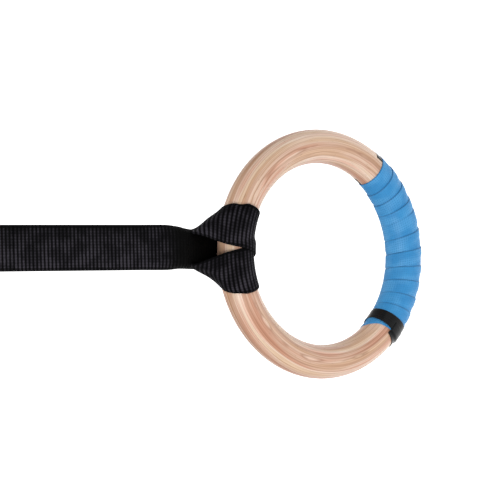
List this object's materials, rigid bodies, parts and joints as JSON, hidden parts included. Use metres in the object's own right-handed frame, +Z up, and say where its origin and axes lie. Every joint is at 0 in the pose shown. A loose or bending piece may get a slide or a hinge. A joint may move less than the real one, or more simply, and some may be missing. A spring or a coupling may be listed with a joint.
{
  "type": "gymnastics ring",
  "caption": "Round wooden gymnastics ring with a wound grip tape, hung by a girth hitch from a webbing strap that closes in a cam buckle.",
  "frame": {"origin": "middle of the top loop, on the axis of the beam that the strap goes over", "axes": "+Z up along the strap, +X across the webbing and in the ring's plane, +Y along the ring's axis to the back"},
  "size_m": [0.235, 0.1333, 0.6858],
  "materials": {
    "birch": "satin lacquered birch laminate",
    "grip_tape": "perforated polyurethane overgrip, matt blue",
    "finishing_tape": "glossy black vinyl",
    "webbing": "woven black polyester webbing",
    "thread": "bonded black polyester thread",
    "frame_steel": "zinc-plated pressed steel",
    "pin_steel": "turned and riveted steel",
    "cam_zinc": "black-coated die-cast zinc",
    "spring_steel": "hard-drawn spring wire",
    "tie": "black hook-and-loop tape"
  },
  "bodies": {
    "strap": {"beam_loop": "webbing", "loop_leg": "webbing", "back_leg": "webbing", "sewn_tail": "webbing", "sewn_front": "webbing", "anchor_end": "webbing", "box_stitch": "thread", "buckle_frame": "frame_steel", "anchor_bar": "pin_steel", "cam_pin": "pin_steel", "front_leg": "webbing", "spare_roll": "webbing", "tie_band": "tie"},
    "cam": {"cam_lever": "cam_zinc", "cam_spring": "spring_steel"},
    "legs": {"front_leg_middle": "webbing", "back_leg_middle": "webbing"},
    "hitch": {"front_leg_end": "webbing", "back_leg_end": "webbing", "right_wrap": "webbing", "left_wrap": "webbing", "right_band": "webbing", "left_band": "webbing", "cross_bar": "webbing"},
    "ring": {"wood_ring": "birch", "grip_tape": "grip_tape", "finishing_tape": "finishing_tape", "start_tape": "finishing_tape"}
  },
  "joints": [
    {"name": "cam_press", "type": "hinge", "parent": "strap", "child": "cam", "pos_m": [0, -0.0115, -0.142], "axis": [-1, 0, 0], "range_deg": [0, 30], "stiffness_Nm_per_rad": 0.15, "springref_deg": -20.05},
    {"name": "strap_twist", "type": "hinge", "parent": "strap", "child": "legs", "pos_m": [0, 0, -0.2797], "axis": [0, 0, 1], "range_deg": [-180, 180]},
    {"name": "hitch_tilt", "type": "hinge", "parent": "legs", "child": "hitch", "pos_m": [0, 0, -0.372], "axis": [1, 0, 0], "range_deg": [-135, 135]},
    {"name": "ring_turn", "type": "hinge", "parent": "hitch", "child": "ring", "pos_m": [-0.007, 0, -0.54], "axis": [0, 1, 0], "range_deg": [-95, 105]}
  ]
}
